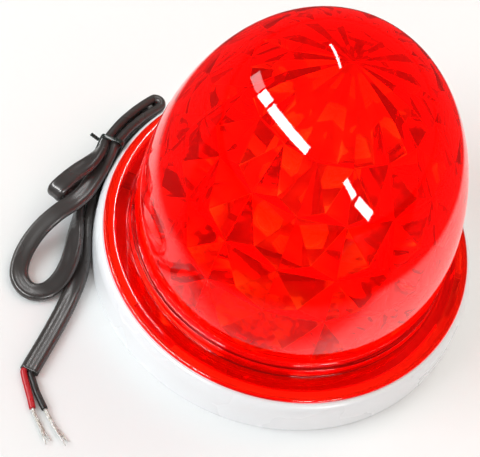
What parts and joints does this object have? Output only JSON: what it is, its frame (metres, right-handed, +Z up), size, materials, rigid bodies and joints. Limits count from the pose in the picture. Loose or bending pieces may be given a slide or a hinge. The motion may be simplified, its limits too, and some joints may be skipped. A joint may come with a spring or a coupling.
{
  "type": "signal beacon",
  "caption": "Round warning beacon: a shallow cup-shaped base, a tall blunt faceted lens that twists to unlock, a lamp column inside and a tied flat lead.",
  "frame": {"origin": "centre of the underside, on the surface the beacon stands on", "axes": "+Z up along the lens axis; the lead leaves the base on the -X side; -Y is the side seen most in the picture"},
  "size_m": [0.1187, 0.1291, 0.0906],
  "materials": {
    "base_white": "gloss",
    "lens_red": "gloss",
    "seal_rubber": "matt",
    "seal_white": "satin",
    "board_green": "satin",
    "board_white": "satin",
    "steel": "satin",
    "deck_silver": "bright",
    "lamp_yellow": "gloss",
    "capacitor_blue": "gloss",
    "part_black": "matt",
    "resistor_tan": "satin",
    "block_green": "satin",
    "lead_black": "gloss",
    "core_red": "gloss",
    "tinned": "bright",
    "tie_dark": "gloss"
  },
  "bodies": {
    "base": {"base_housing": "base_white", "lens_gasket": "seal_white", "main_board": "board_green", "board_screws": "steel", "reflector_deck": "deck_silver", "column_core": "board_white", "strip_boards": "board_white", "side_leds": "lamp_yellow", "cap_board": "board_white", "cap_leds": "lamp_yellow", "smoothing_capacitor": "capacitor_blue", "rectifier_diodes": "part_black", "flasher_chip": "part_black", "chip_pins": "steel", "drive_transistor": "part_black", "resistors": "resistor_tan", "terminal_block": "block_green", "terminal_screws": "steel", "cable_grommet": "seal_rubber", "cable_clamp": "part_black", "clamp_screws": "steel", "inner_sheath": "lead_black", "inner_red_core": "core_red", "inner_black_core": "lead_black", "cable_sheath": "lead_black", "red_core": "core_red", "black_core": "lead_black", "red_strands": "tinned", "black_strands": "tinned", "cable_tie": "tie_dark"},
    "lens": {"lens_dome": "lens_red"}
  },
  "joints": [
    {"name": "lens_twist", "type": "hinge", "parent": "base", "child": "lens", "pos_m": [0, 0, 0.0124], "axis": [0, 0, 1], "range_deg": [0, 20]}
  ]
}
